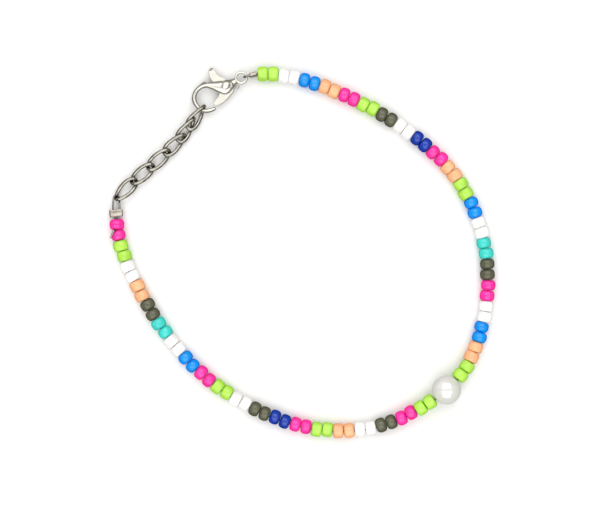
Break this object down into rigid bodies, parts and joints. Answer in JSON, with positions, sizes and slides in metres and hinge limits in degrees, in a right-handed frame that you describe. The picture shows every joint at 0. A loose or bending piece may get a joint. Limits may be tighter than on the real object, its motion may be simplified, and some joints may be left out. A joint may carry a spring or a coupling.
{
  "type": "beaded anklet",
  "caption": "Closed loop of coloured glass seed beads with a pearl, joined by a lobster clasp and a short twisted chain. Worn round the ankle.",
  "frame": {"origin": "on the surface that the anklet lies on, under the middle of its box", "axes": "+Z up from the surface, +X to the right and +Y upwards in the picture, which looks straight down"},
  "size_m": [0.0804, 0.0774, 0.006],
  "materials": {
    "bead_pink": "opaque glossy seed bead glass, hot pink",
    "bead_lime": "opaque glossy seed bead glass, lime green",
    "bead_blue": "opaque glossy seed bead glass, bright blue",
    "bead_navy": "opaque glossy seed bead glass, navy blue",
    "bead_peach": "opaque glossy seed bead glass, peach",
    "bead_teal": "opaque glossy seed bead glass, turquoise green",
    "bead_grey": "opaque glossy seed bead glass, warm grey",
    "bead_white": "opaque glossy seed bead glass, white",
    "pearl": "pearlescent coat, glossy",
    "clasp_metal": "polished silver-coloured plating",
    "chain_metal": "polished silver-coloured plating, darker in its hollows",
    "crimp_metal": "flattened soft metal tube, dull",
    "wire": "coated beading wire"
  },
  "bodies": {
    "anklet": {"bead_string_right": "bead_pink", "bead_string_left": "bead_lime", "pearl_bead": "pearl", "crimp_clasp_end": "crimp_metal", "crimp_chain_end": "crimp_metal", "chain_link_1": "chain_metal", "chain_link_2": "chain_metal", "chain_link_3": "chain_metal", "chain_link_4": "chain_metal", "chain_link_5": "chain_metal", "chain_link_6": "chain_metal", "clasp_body": "clasp_metal"},
    "lever": {"clasp_lever": "clasp_metal"}
  },
  "joints": [
    {"name": "clasp_lever_hinge", "type": "hinge", "parent": "anklet", "child": "lever", "pos_m": [-0.01611, 0.0343, 0.00175], "axis": [0, 0, -1], "range_deg": [0, 25], "stiffness_Nm_per_rad": 0.004, "springref_deg": -5.73}
  ]
}
